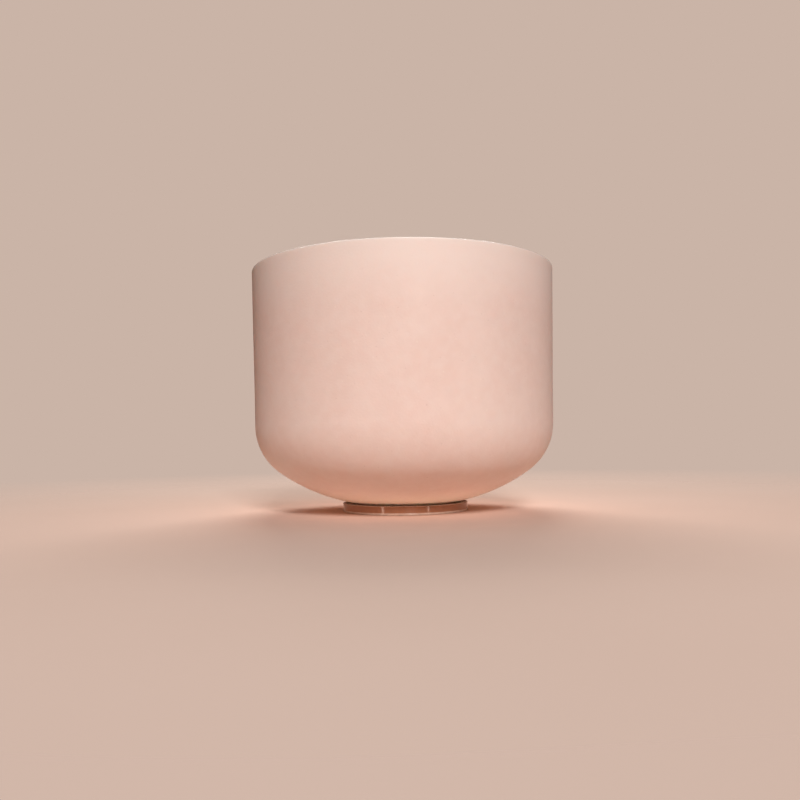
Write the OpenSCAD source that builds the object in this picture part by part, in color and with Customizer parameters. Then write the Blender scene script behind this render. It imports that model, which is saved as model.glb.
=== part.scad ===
// Crystal singing bowl on a plain support ring.
// The bowl is one piece of frosted quartz. It stands loose on the ring and lifts off.
// Origin: centre of the ring's flat underside. +Z is the axis of the bowl and of the ring.

/* [Bowl] */
// Outside diameter at the rim
bowl_d = 305; // [240:1:360]
// Height of the bowl alone, from its underside to the rim
bowl_h = 235; // [200:1:260]
// Thickness of the wall and the floor
wall_t = 6; // [4:0.5:9]
// Angle by which the wall leans outwards, in degrees
wall_taper = 1.1; // [0:0.1:3]
// Outside radius of the shoulder, between the wall and the bottom
shoulder_r = 58; // [40:1:70]
// Outside radius of the shallow arch of the bottom
bottom_r = 180; // [170:1:300]
// Diameter of the flat spot in the middle of the bottom
flat_d = 40; // [10:1:60]
// Width of the ground bevels on both edges of the rim
rim_bevel = 1; // [0.5:0.1:1.5]

/* [Support ring] */
// Outside diameter of the ring
ring_od = 126; // [124:1:150]
// Inside diameter of the ring
ring_id = 102; // [80:1:114]
// Height of the ring
ring_h = 8.6; // [8:0.1:14]
// Rounding of all four edges of the ring
ring_edge_r = 1; // [0.5:0.1:1.5]

/* [Fit] */
// Gap between the bowl and the edge of the ring that carries it
seat_gap = 0.2; // [0.1:0.05:0.5]

/* [Hidden] */
$fn = 240;

// Centre of the rounded inner top edge of the ring, which carries the bowl
seat_x = ring_id/2 + ring_edge_r;
seat_z = ring_h - ring_edge_r;

// The arch of the bottom clears that edge by seat_gap, which sets the height of the bowl
arch_x = flat_d/2;
arch_z = seat_z + sqrt(pow(bottom_r + ring_edge_r + seat_gap, 2) - pow(seat_x - arch_x, 2));
bowl_z = arch_z - bottom_r;
rim_z = bowl_z + bowl_h;

// The shoulder touches the leaning wall and the arch, so its centre lies on a line parallel
// to the wall, at the distance bottom_r - shoulder_r from the arch's centre
lean = tan(wall_taper);
line_x = bowl_d/2 - rim_z*lean - shoulder_r/cos(wall_taper) - arch_x;
quad_a = lean*lean + 1;
quad_b = 2*(lean*line_x - arch_z);
quad_c = line_x*line_x + arch_z*arch_z - pow(bottom_r - shoulder_r, 2);
shoulder_z = (-quad_b - sqrt(quad_b*quad_b - 4*quad_a*quad_c))/(2*quad_a);
shoulder_x = arch_x + line_x + lean*shoulder_z;

arch = [arch_x, arch_z];
shoulder = [shoulder_x, shoulder_z];

// Direction from the arch's centre through the shoulder's centre to where the arcs meet
meet_angle = atan2(shoulder_z - arch_z, shoulder_x - arch_x);

// Unit vector out of the wall, square to it
wall_out = [cos(wall_taper), -sin(wall_taper)];

// Radius of the wall's surface at height z, with the surface moved inwards by inset
function wall_x(z, inset) = bowl_d/2 - (rim_z - z)*lean - inset/cos(wall_taper);

// The side of the bowl's outline moved inwards by inset, filled to the axis.
// rim_edge is the list of points at the top, from the wall to the axis.
module filled_outline(inset, rim_edge) {
    // flat spot
    translate([0, bowl_z + inset]) square([arch_x, shoulder_z - bowl_z - inset]);
    // arch, cut off where it meets the shoulder
    intersection() {
        translate(arch) circle(bottom_r - inset);
        polygon([arch, [arch_x, 0], arch + 2*bottom_r*[cos(meet_angle), sin(meet_angle)]]);
    }
    // shoulder
    translate(shoulder) circle(shoulder_r - inset);
    // wall
    polygon(concat([shoulder, shoulder + (shoulder_r - inset)*wall_out], rim_edge,
                   [[0, shoulder_z]]));
}

module bowl() {
    bevel_z = rim_z - rim_bevel;
    above = rim_z + 1;
    outer_edge = [[wall_x(bevel_z, 0), bevel_z], [wall_x(rim_z, 0) - rim_bevel, rim_z],
                  [0, rim_z]];
    inner_edge = [[wall_x(bevel_z, wall_t), bevel_z], [wall_x(rim_z, wall_t) + rim_bevel, rim_z],
                  [wall_x(rim_z, wall_t) + rim_bevel, above], [0, above]];
    color("mistyrose") rotate_extrude() difference() {
        filled_outline(0, outer_edge);
        filled_outline(wall_t, inner_edge);
    }
}

module support_ring() {
    r_in = ring_id/2;
    r_out = ring_od/2;
    out_x = r_out - ring_edge_r;
    color("peru") rotate_extrude() {
        for (x = [seat_x, out_x], z = [ring_edge_r, seat_z])
            translate([x, z]) circle(ring_edge_r);
        // section between the centres of the edges, out to the flat faces
        polygon([[seat_x, 0], [out_x, 0], [out_x, ring_edge_r], [r_out, ring_edge_r],
                 [r_out, seat_z], [out_x, seat_z], [out_x, ring_h], [seat_x, ring_h],
                 [seat_x, seat_z], [r_in, seat_z], [r_in, ring_edge_r], [seat_x, ring_edge_r]]);
    }
}

bowl();
support_ring();
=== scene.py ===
"""A frosted quartz singing bowl that stands loose on a plain band ring.

Both CAD nodes are replaced by lathed meshes in the same frame, in metres. The origin is the
centre of the ring's underside, and +Z is the axis of the bowl and of the ring.
"""

import math

import bpy
from mathutils import Matrix, Vector, noise


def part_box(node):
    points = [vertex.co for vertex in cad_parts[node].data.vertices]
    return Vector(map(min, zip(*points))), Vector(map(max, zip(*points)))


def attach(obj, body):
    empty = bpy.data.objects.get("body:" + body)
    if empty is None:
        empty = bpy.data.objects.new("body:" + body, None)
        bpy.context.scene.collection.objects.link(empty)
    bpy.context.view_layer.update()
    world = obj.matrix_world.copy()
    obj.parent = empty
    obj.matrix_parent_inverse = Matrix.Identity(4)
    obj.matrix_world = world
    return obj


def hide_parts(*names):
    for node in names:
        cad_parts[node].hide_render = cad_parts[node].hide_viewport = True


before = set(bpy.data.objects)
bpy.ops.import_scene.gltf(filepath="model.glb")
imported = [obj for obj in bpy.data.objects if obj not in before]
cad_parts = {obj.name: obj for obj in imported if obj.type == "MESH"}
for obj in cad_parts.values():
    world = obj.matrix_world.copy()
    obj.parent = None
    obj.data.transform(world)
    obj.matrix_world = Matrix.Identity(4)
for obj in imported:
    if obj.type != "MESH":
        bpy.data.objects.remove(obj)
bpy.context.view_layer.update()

MM = 0.001

# --- sizes, as in the CAD source; the outer ones come from the frame -----------------------

bowl_low, bowl_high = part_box("bowl")
_, ring_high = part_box("support_ring")

WALL_T = 6 * MM
WALL_TAPER = math.radians(1.1)
SHOULDER_R = 58 * MM
ARCH_R = 180 * MM
FLAT_R = 20 * MM
RIM_EDGE = 1 * MM
RIM_Z = bowl_high.z
FOOT_Z = bowl_low.z
RIM_R = bowl_high.x + RIM_EDGE * math.tan(WALL_TAPER)

RING_R = ring_high.x
RING_H = ring_high.z
RING_BORE_R = 51 * MM
RING_EDGE = 1 * MM

BOWL_SEGMENTS = 440
RING_SEGMENTS = 360

# mesh steps along the bowl's flat spot, arch, shoulder and wall
OUTSIDE_STEPS = (6, 34, 28, 62)
INSIDE_STEPS = (5, 22, 18, 34)

# unevenness of a surface, as waves of (height in mm, width of a bump, seed)
BOWL_SWELLS = ((0.28, 70 * MM, 3), (0.07, 20 * MM, 5))
BOWL_GRAIN = ((0.05, 7 * MM, 7),)
RING_WAVES = ((0.1, 30 * MM, 11), (0.04, 6 * MM, 13))


def srgb(red, green, blue):
    """A colour written as 0 to 255 sRGB values, as the linear colour that shaders take."""
    def linear(value):
        value /= 255
        return value / 12.92 if value <= 0.04045 else ((value + 0.055) / 1.055) ** 2.4
    return (linear(red), linear(green), linear(blue), 1)


# --- outlines ------------------------------------------------------------------------------

def arc(centre, radius, start, end, steps):
    """Points from angle start to angle end, in degrees, without the last one."""
    angles = [math.radians(start + (end - start) * i / steps) for i in range(steps)]
    return [(centre[0] + radius * math.cos(a), centre[1] + radius * math.sin(a)) for a in angles]


def line(start, end, steps):
    """Points from start to end, without the last one."""
    return [(start[0] + (end[0] - start[0]) * i / steps, start[1] + (end[1] - start[1]) * i / steps)
            for i in range(steps)]


def shoulder_centre():
    """Centre of the shoulder's arc: it touches the leaning wall and the arch of the bottom."""
    arch_z = FOOT_Z + ARCH_R
    lean = math.tan(WALL_TAPER)
    line_x = RIM_R - RIM_Z * lean - SHOULDER_R / math.cos(WALL_TAPER) - FLAT_R
    a = lean * lean + 1
    b = 2 * (lean * line_x - arch_z)
    c = line_x ** 2 + arch_z ** 2 - (ARCH_R - SHOULDER_R) ** 2
    z = (-b - math.sqrt(b * b - 4 * a * c)) / (2 * a)
    return FLAT_R + line_x + lean * z, z


def wall_point(z, inset):
    """The point at height z on the wall's outer surface, moved inwards by inset."""
    return RIM_R - (RIM_Z - z) * math.tan(WALL_TAPER) - inset / math.cos(WALL_TAPER), z


def bowl_side(inset, steps):
    """The outline of one side of the bowl, from the axis up to the edge of the rim."""
    flat, arched, shouldered, straight = steps
    arch = (FLAT_R, FOOT_Z + ARCH_R)
    shoulder = shoulder_centre()
    meet = math.degrees(math.atan2(shoulder[1] - arch[1], shoulder[0] - arch[0]))
    taper = math.degrees(WALL_TAPER)
    end = wall_point(RIM_Z - RIM_EDGE, inset)
    r = SHOULDER_R - inset
    touch = (shoulder[0] + r * math.cos(WALL_TAPER), shoulder[1] - r * math.sin(WALL_TAPER))
    return (line((0, FOOT_Z + inset), (FLAT_R, FOOT_Z + inset), flat)
            + arc(arch, ARCH_R - inset, -90, meet, arched)
            + arc(shoulder, r, meet, -taper, shouldered)
            + line(touch, end, straight) + [end])


def bowl_outline():
    """(points, zones): the section of the bowl from the axis outside to the axis inside."""
    outside = bowl_side(0, OUTSIDE_STEPS)
    inside = bowl_side(WALL_T, INSIDE_STEPS)
    outer = wall_point(RIM_Z - RIM_EDGE, RIM_EDGE)
    inner = wall_point(RIM_Z - RIM_EDGE, WALL_T - RIM_EDGE)
    rim = (arc(outer, RIM_EDGE, 0, 90, 5)[1:] + line((outer[0], RIM_Z), (inner[0], RIM_Z), 4)
           + arc(inner, RIM_EDGE, 90, 180, 5))
    zones = ["outside"] * len(outside) + ["rim"] * len(rim) + ["inside"] * len(inside)
    return outside + rim + inside[::-1], zones


def ring_outline():
    """The section of the ring, once round from the bore's lower edge, as a closed loop. The
    number that ends each part is how many steps it takes. A low seam runs round the bore."""
    bore, outer = RING_BORE_R + RING_EDGE, RING_R - RING_EDGE
    low, high = RING_EDGE, RING_H - RING_EDGE
    seam = 0.12 * MM
    middle = RING_H / 2
    return (arc((bore, low), RING_EDGE, 180, 270, 6)
            + line((bore, 0), (outer, 0), 8)
            + arc((outer, low), RING_EDGE, 270, 360, 8)
            + line((RING_R, low), (RING_R, high), 14)
            + arc((outer, high), RING_EDGE, 0, 90, 8)
            + line((outer, RING_H), (bore, RING_H), 8)
            + arc((bore, high), RING_EDGE, 90, 180, 6)
            + line((RING_BORE_R, high), (RING_BORE_R, middle + seam), 4)
            + [(RING_BORE_R, middle + seam), (RING_BORE_R - seam, middle)]
            + line((RING_BORE_R, middle - seam), (RING_BORE_R, low), 4))


# --- meshes --------------------------------------------------------------------------------

def new_object(name, data):
    """An object in the scene that holds the given mesh, light or camera."""
    thing = bpy.data.objects.new(name, data)
    bpy.context.scene.collection.objects.link(thing)
    return thing


def turned_points(outline, rows, segments, moved):
    """The outline's points at the given rows, turned about Z and each moved to its place."""
    points = []
    for k in rows:
        r, z = outline[k]
        before, after = outline[k - 1], outline[(k + 1) % len(outline)]
        along = Vector((after[0] - before[0], after[1] - before[1])).normalized()
        for s in range(segments):
            angle = 2 * math.pi * s / segments
            c, d = math.cos(angle), math.sin(angle)
            normal = Vector((along[1] * c, along[1] * d, -along[0]))
            points.append(moved(Vector((r * c, r * d, z)), normal, k))
    return points


def lathe(name, outline, segments, closed, moved):
    """(object, starts): a mesh turned about Z, and for each face the index of the outline's
    point that it starts from. An open outline starts and ends on the axis. moved(point, normal,
    index) gives each point's final place, from its place on the plain solid."""
    rows = range(len(outline)) if closed else range(1, len(outline) - 1)
    vertices = turned_points(outline, rows, segments, moved)
    faces, starts = [], []
    for k in range(len(rows) if closed else len(rows) - 1):
        low, high = k * segments, (k + 1) % len(rows) * segments
        for s in range(segments):
            t = (s + 1) % segments
            faces.append((low + s, low + t, high + t, high + s))
            starts.append(rows[k])
    if not closed:
        bottom, top = len(vertices), len(vertices) + 1
        vertices += [Vector((0, 0, outline[0][1])), Vector((0, 0, outline[-1][1]))]
        last = (len(rows) - 1) * segments
        for s in range(segments):
            t = (s + 1) % segments
            faces += [(bottom, t, s), (top, last + s, last + t)]
            starts += [0, len(outline) - 1]
    mesh = bpy.data.meshes.new(name)
    mesh.from_pydata([tuple(v) for v in vertices], [], faces)
    mesh.shade_smooth()
    mesh.validate()
    return new_object(name, mesh), starts


def ripples(point, waves):
    """Smooth unevenness at a point, in mm: the sum of the given waves."""
    return sum(height * noise.noise(point / width + Vector((seed, 2 * seed, 3 * seed)))
               for height, width, seed in waves)


def make_bowl():
    outline, zones = bowl_outline()
    rim_fade, seat_fade, seat_top = 25 * MM, 14 * MM, RING_H + 5 * MM

    def moved(point, normal, index):
        """Spun quartz is a little uneven, more so outside, but not at the rim or on the ring."""
        if zones[index] == "rim":
            return point
        below_rim = min(1, (RIM_Z - point.z) / rim_fade)
        height = ripples(point, BOWL_SWELLS)
        if zones[index] == "outside":
            height += ripples(point, BOWL_GRAIN)
            if point.z < seat_top:
                seat = abs(math.hypot(point.x, point.y) - RING_BORE_R) / seat_fade
                height *= min(1, seat) ** 2
        return point + normal * height * below_rim * MM

    piece, starts = lathe("quartz_bowl", outline, BOWL_SEGMENTS, False, moved)
    rim_start, inside_start = zones.index("rim") - 1, zones.index("inside")
    for polygon, start in zip(piece.data.polygons, starts):
        polygon.material_index = 0 if start < rim_start else 1 if start < inside_start else 2
    for material in (frosted_outside(), ground_rim(), frosted_inside()):
        piece.data.materials.append(material)
    return piece


def make_ring():
    low_fade, high_fade = 1.5 * MM, 2 * MM

    def moved(point, normal, _):
        """Soft moulded stock: the band is a touch wavy, but not on the floor or at its top."""
        loose = max(0, min(1, point.z / low_fade, (RING_H - point.z) / high_fade))
        return point + normal * ripples(point, RING_WAVES) * loose * MM

    piece, _ = lathe("band_ring", ring_outline(), RING_SEGMENTS, True, moved)
    piece.data.materials.append(band_rubber())
    return piece


# --- materials -----------------------------------------------------------------------------

class Shader:
    """A node tree with one Principled shader, and short ways to add to it."""

    def __init__(self, name, **uniform):
        self.material = bpy.data.materials.new(name)
        self.material.use_nodes = True
        self.tree = self.material.node_tree
        self.surface = self.tree.nodes["Principled BSDF"]
        for socket, value in uniform.items():
            self.surface.inputs[socket.replace("_", " ")].default_value = value
        self.place = self.add("ShaderNodeTexCoord").outputs["Object"]

    def add(self, kind, settings=None, **inputs):
        """A new node with the given settings and inputs."""
        node = self.tree.nodes.new(kind)
        for key, value in (settings or {}).items():
            setattr(node, key, value)
        for key, value in inputs.items():
            self.feed(node.inputs[key.replace("_", " ")], value)
        return node

    def feed(self, socket, value):
        """Link value to the socket if it is another node's output, or else store it there."""
        if isinstance(value, bpy.types.NodeSocket):
            self.tree.links.new(value, socket)
        else:
            socket.default_value = value

    def noise(self, size, detail, place=None):
        """Noise with lumps of about the given size."""
        return self.add("ShaderNodeTexNoise", Vector=place or self.place, Scale=1 / size,
                        Detail=detail).outputs["Fac"]

    def scaled_place(self, x, y, z):
        """The place with each axis scaled, which draws a texture out along a small one."""
        node = self.add("ShaderNodeVectorMath", {"operation": "MULTIPLY"})
        self.feed(node.inputs[0], self.place)
        node.inputs[1].default_value = (x, y, z)
        return node.outputs[0]

    def radius(self):
        """Distance from the axis of the bowl and the ring."""
        return self.add("ShaderNodeVectorMath", {"operation": "LENGTH"},
                        Vector=self.scaled_place(1, 1, 0)).outputs["Value"]

    def height(self):
        """Height above the underside of the ring."""
        return self.add("ShaderNodeSeparateXYZ", Vector=self.place).outputs["Z"]

    def math(self, operation, a, b):
        node = self.add("ShaderNodeMath", {"operation": operation})
        for socket, value in zip(node.inputs, (a, b)):
            self.feed(socket, value)
        return node.outputs[0]

    def plus(self, a, b):
        return self.math("ADD", a, b)

    def minus(self, a, b):
        return self.math("SUBTRACT", a, b)

    def times(self, a, b):
        return self.math("MULTIPLY", a, b)

    def between(self, value, low, high, to_low=0.0, to_high=1.0):
        """value from low..high mapped to to_low..to_high, clamped."""
        node = self.add("ShaderNodeMapRange", From_Min=low, From_Max=high, To_Min=to_low,
                        To_Max=to_high)
        self.feed(node.inputs["Value"], value)
        return node.outputs["Result"]

    def mix(self, share, a, b):
        """Colour a turned towards b by share."""
        node = self.add("ShaderNodeMix", {"data_type": "RGBA"})
        for key, value in (("Factor", share), ("A", a), ("B", b)):
            sockets = [s for s in node.inputs if s.name == key and s.enabled]
            self.feed(sockets[0], value)
        return [s for s in node.outputs if s.enabled][0]

    def tint(self, colour, other, where, strength):
        """colour turned towards other by strength, where the mask is 1."""
        return self.mix(self.times(where, strength), colour, other)

    def specks(self, size, radius, share, place=None):
        """1 inside small round spots, which fill the given share of the cells."""
        cell = self.add("ShaderNodeTexVoronoi", Vector=place or self.place, Scale=1 / size,
                        Randomness=1.0)
        spot = self.between(cell.outputs["Distance"], radius / size, 0.4 * radius / size)
        chosen = self.add("ShaderNodeSeparateColor", Color=cell.outputs["Color"]).outputs[0]
        return self.times(spot, self.math("LESS_THAN", chosen, share))

    def bump(self, height, distance):
        return self.add("ShaderNodeBump", Height=height, Distance=distance).outputs["Normal"]

    def finish(self, **outputs):
        """Feed the outputs to the Principled shader, and give the finished material."""
        for socket, value in outputs.items():
            self.feed(self.surface.inputs[socket.replace("_", " ")], value)
        return self.material


QUARTZ = srgb(243, 220, 210)
QUARTZ_DEEP = srgb(237, 208, 196)
QUARTZ_PALE = srgb(249, 229, 220)
QUARTZ_CUT = srgb(253, 236, 228)
SPECK = srgb(176, 138, 120)
# Near white: the colour of the pale crumbs, and of the painted glow on the bowl and the painted
# highlights on the ring.
CRUMB_AND_PAINTED_LIGHT = srgb(255, 240, 226)
RUBBER = srgb(175, 124, 95)
RUBBER_DEEP = srgb(162, 112, 84)
RUBBER_LINE = srgb(146, 97, 72)
DUST = srgb(226, 200, 182)


def quartz_shader(name, gloss):
    """What the bowl's three skins share: light spreads a little under a surface of quartz."""
    return Shader(name, Subsurface_Weight=0.35, Subsurface_Scale=9 * MM,
                  Subsurface_Radius=(1.0, 0.75, 0.65), Specular_IOR_Level=gloss, IOR=1.46)


def frosted_outside():
    """Sandy outer skin: fused grains, faint clouds, specks, pits and pale crumbs. Painted glow: the
    underside round the ring is painted pale in a noisy patch, and a band under the rim is painted
    paler."""
    s = quartz_shader("frosted_quartz_outside", 0.4)
    cloud = s.between(s.noise(46 * MM, 4.0), 0.3, 0.72)
    fleck = s.between(s.noise(9 * MM, 3.0), 0.38, 0.7)
    speck = s.specks(17 * MM, 0.8 * MM, 0.1)
    pit = s.specks(6 * MM, 0.7 * MM, 0.3, s.scaled_place(1, 1, 1.8))
    crumb = s.specks(7 * MM, 0.9 * MM, 0.3, s.scaled_place(1.3, 1.3, 1))
    # Painted glow: the underside round the ring is painted nearly white, its edge broken up by
    # noise.
    painted_underside_glow = s.times(s.between(s.radius(), 100 * MM, 66 * MM),
                   s.between(s.noise(3 * MM, 3.0), 0.2, 0.6, 0.6, 1.0))
    # Painted glow: a paler band painted under the rim, standing for light glowing through the wall.
    painted_rim_glow = s.between(s.height(), RIM_Z - 55 * MM, RIM_Z - 15 * MM, 0, 0.8)
    colour = s.tint(QUARTZ, QUARTZ_DEEP, cloud, 0.5)
    colour = s.tint(colour, QUARTZ_PALE, fleck, 0.3)
    colour = s.tint(colour, SPECK, speck, 0.25)
    colour = s.tint(colour, SPECK, pit, 0.3)
    colour = s.tint(colour, CRUMB_AND_PAINTED_LIGHT, crumb, 0.4)
    colour = s.mix(painted_underside_glow, colour, CRUMB_AND_PAINTED_LIGHT)
    colour = s.mix(painted_rim_glow, colour, QUARTZ_PALE)

    grain = s.noise(1.9 * MM, 3.0)
    sand = s.add("ShaderNodeTexVoronoi", Vector=s.place, Scale=1 / (2.2 * MM)).outputs["Distance"]
    hole = s.minus(s.plus(speck, pit), crumb)
    height = s.minus(s.plus(s.times(grain, 0.7), s.times(sand, 0.5)), s.times(hole, 0.3))
    rough = s.between(s.plus(s.times(cloud, 0.4), grain), 0.3, 1.1, 0.5, 0.68)
    return s.finish(Base_Color=colour, Roughness=rough, Normal=s.bump(height, 0.11 * MM))


def frosted_inside():
    """Inner skin, melted smoother: a soft gloss over a gentle orange peel and a few bubbles."""
    s = quartz_shader("frosted_quartz_inside", 0.5)
    cloud = s.between(s.noise(60 * MM, 3.0), 0.35, 0.68)
    bubble = s.specks(21 * MM, 1.1 * MM, 0.2)
    colour = s.tint(s.mix(cloud, QUARTZ_PALE, QUARTZ), QUARTZ_DEEP, bubble, 0.25)
    rough = s.between(s.noise(12 * MM, 3.0), 0.3, 0.7, 0.3, 0.42)
    height = s.plus(s.noise(4.5 * MM, 2.0), s.times(bubble, 0.8))
    return s.finish(Base_Color=colour, Roughness=rough, Normal=s.bump(height, 0.08 * MM))


def ground_rim():
    """Rim ground flat: fine circular scratches and a brighter, cut surface."""
    s = quartz_shader("ground_quartz_rim", 0.5)
    across = s.add("ShaderNodeCombineXYZ", X=s.radius()).outputs[0]
    scratch = s.noise(0.5 * MM, 3.0, across)
    colour = s.mix(scratch, QUARTZ_PALE, QUARTZ_CUT)
    rough = s.between(scratch, 0.3, 0.7, 0.26, 0.4)
    return s.finish(Base_Color=colour, Roughness=rough, Normal=s.bump(scratch, 0.02 * MM))


def band_rubber():
    """Moulded band: satin, with fine lines round it and dust; pale lines along its foot and top
    edge are painted highlights.
    """
    s = Shader("band_rubber", Specular_IOR_Level=0.55, IOR=1.5, Anisotropic=1.0,
               Anisotropic_Rotation=0.25)
    tangent = s.add("ShaderNodeTangent", {"direction_type": "RADIAL", "axis": "Z"}).outputs[0]
    height = s.height()
    lines = s.noise(0.9 * MM, 3.0, s.scaled_place(0.03, 0.03, 1))
    tone = s.between(s.noise(24 * MM, 3.0), 0.3, 0.7)
    # Painted highlights: the foot and the top edge are painted pale, in lines broken up by noise.
    foot = s.between(height, 2.3 * MM, 1.7 * MM, 0, 0.65)
    top = s.between(height, RING_H - 0.8 * MM, RING_H - 0.2 * MM, 0, 0.5)
    painted_edge_light = s.times(s.plus(foot, top), s.between(s.noise(5 * MM, 3.0), 0.25, 0.6, 0.75, 1.0))
    dust = s.specks(3.2 * MM, 0.3 * MM, 0.25)
    colour = s.mix(tone, RUBBER, RUBBER_DEEP)
    colour = s.tint(colour, RUBBER_LINE, lines, 0.3)
    colour = s.mix(painted_edge_light, colour, CRUMB_AND_PAINTED_LIGHT)
    colour = s.tint(colour, DUST, dust, 0.3)
    rough = s.between(s.plus(painted_edge_light, s.times(lines, 0.5)), 0, 1.4, 0.12, 0.42)
    return s.finish(Base_Color=colour, Roughness=rough, Tangent=tangent,
                    Normal=s.bump(lines, 0.02 * MM))


# --- stage ---------------------------------------------------------------------------------

BACKDROP = srgb(202, 180, 167)
FLOOR = srgb(238, 208, 192)
FLOOR_DEEP = srgb(233, 202, 185)
FLOOR_R, FLOOR_SIDES = 1.4, 90
FADE_START, FADE_END = 0.18, 1.2
ROOM_COLOUR, ROOM_STRENGTH = (1.0, 0.3, 0.15, 1), 0.04
STRIP_COLOUR = (1.0, 0.75, 0.6)


def floor_material():
    """Pale and matt, fading from FADE_START to FADE_END with the logarithm of the distance."""
    s = Shader("pale_floor", Roughness=0.85, Specular_IOR_Level=0.2)
    tone = s.between(s.noise(0.3, 3.0), 0.3, 0.7)
    s.finish(Base_Color=s.mix(tone, FLOOR, FLOOR_DEEP))
    distance = s.math("LOGARITHM", s.radius(), math.e)
    faded = s.between(distance, math.log(FADE_START), math.log(FADE_END))
    clear = s.add("ShaderNodeBsdfTransparent")
    blend = s.add("ShaderNodeMixShader", Fac=faded)
    s.feed(blend.inputs[1], s.surface.outputs[0])
    s.feed(blend.inputs[2], clear.outputs[0])
    s.feed(s.tree.nodes["Material Output"].inputs["Surface"], blend.outputs[0])
    return s.material


def make_floor():
    """A pale round floor whose far edge fades into the backdrop."""
    corners = [(FLOOR_R * math.cos(a), FLOOR_R * math.sin(a), 0)
               for a in (math.radians(360 / FLOOR_SIDES * i) for i in range(FLOOR_SIDES))]
    mesh = bpy.data.meshes.new("floor")
    mesh.from_pydata(corners, [], [tuple(range(FLOOR_SIDES))])
    mesh.materials.append(floor_material())
    floor = new_object("floor", mesh)


def make_world():
    """The camera sees a pale backdrop; the object is lit by a very dim, orange-red room."""
    world = bpy.data.worlds.new("studio")
    bpy.context.scene.world = world
    world.use_nodes = True
    nodes, links = world.node_tree.nodes, world.node_tree.links
    room = nodes["Background"]
    room.inputs["Color"].default_value = ROOM_COLOUR
    room.inputs["Strength"].default_value = ROOM_STRENGTH
    seen = nodes.new("ShaderNodeBackground")
    seen.inputs["Color"].default_value = BACKDROP
    path = nodes.new("ShaderNodeLightPath")
    mix = nodes.new("ShaderNodeMixShader")
    links.new(path.outputs["Is Camera Ray"], mix.inputs[0])
    links.new(room.outputs[0], mix.inputs[1])
    links.new(seen.outputs[0], mix.inputs[2])
    links.new(mix.outputs[0], nodes["World Output"].inputs["Surface"])


def make_lamp(name, place, target, size, power, colour):
    """A rectangular soft light at place, aimed at target, of the given power in watts."""
    light = bpy.data.lights.new(name, "AREA")
    light.shape = "RECTANGLE"
    light.size, light.size_y = size
    light.energy = power
    light.color = colour
    lamp = new_object(name, light)
    aim = Vector(target) - Vector(place)
    lamp.matrix_world = (Matrix.Translation(place)
                         @ aim.to_track_quat("-Z", "Y").to_matrix().to_4x4())
    lamp.visible_camera = False


def around(azimuth, distance, height):
    """A point round the axis: azimuth 0 is in front, positive to the right."""
    a = math.radians(azimuth)
    return (distance * math.sin(a), -distance * math.cos(a), height)


def make_lights():
    """A soft key high in front, two slim strips that draw lines on the ring, a wide back light,
    and a faint glow from the floor under the bowl."""
    middle = (0, 0, 0.6 * RIM_Z)
    make_lamp("key", around(8, 3.4, 2.1), middle, size=(1.0, 1.0), power=116.5,
              colour=(1.0, 0.985, 0.98))
    for name, azimuth, power in (("strip_left", -40.6, 1.1), ("strip_right", 40.6, 0.9)):
        make_lamp(name, around(azimuth, 1.25, 0.12), (0, 0, 0), size=(0.03, 0.2), power=power,
                  colour=STRIP_COLOUR)
    make_lamp("back", around(180, 1.5, 1.4), middle, size=(1.2, 0.8), power=31,
              colour=(1.0, 0.92, 0.86))
    make_lamp("glow", (0, 0, 1.5 * MM), (0, 0, 1), size=(0.2, 0.2), power=0.017,
              colour=(1.0, 0.6, 0.42))


def make_camera():
    """In front of the bowl and low, below the middle of its wall, looking slightly up."""
    distance, height, aside = 0.809, 0.06705, -0.0039
    pitch, roll = math.radians(3.18), math.radians(0.8365)
    data = bpy.data.cameras.new("camera")
    data.sensor_width, data.lens = 36, 35.61
    data.clip_start, data.clip_end = 0.01, 50
    camera = new_object("camera", data)
    camera.matrix_world = (Matrix.Translation((aside, -distance, height))
                           @ Matrix.Rotation(math.pi / 2 + pitch, 4, "X")
                           @ Matrix.Rotation(-roll, 4, "Z"))
    bpy.context.scene.camera = camera


# --- scene ---------------------------------------------------------------------------------

make_camera()
make_world()
make_lights()
make_floor()

bowl = make_bowl()
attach(bowl, "bowl")
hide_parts("bowl")

ring = make_ring()
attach(ring, "ring")
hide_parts("support_ring")

bpy.context.scene.view_settings.view_transform = "Standard"
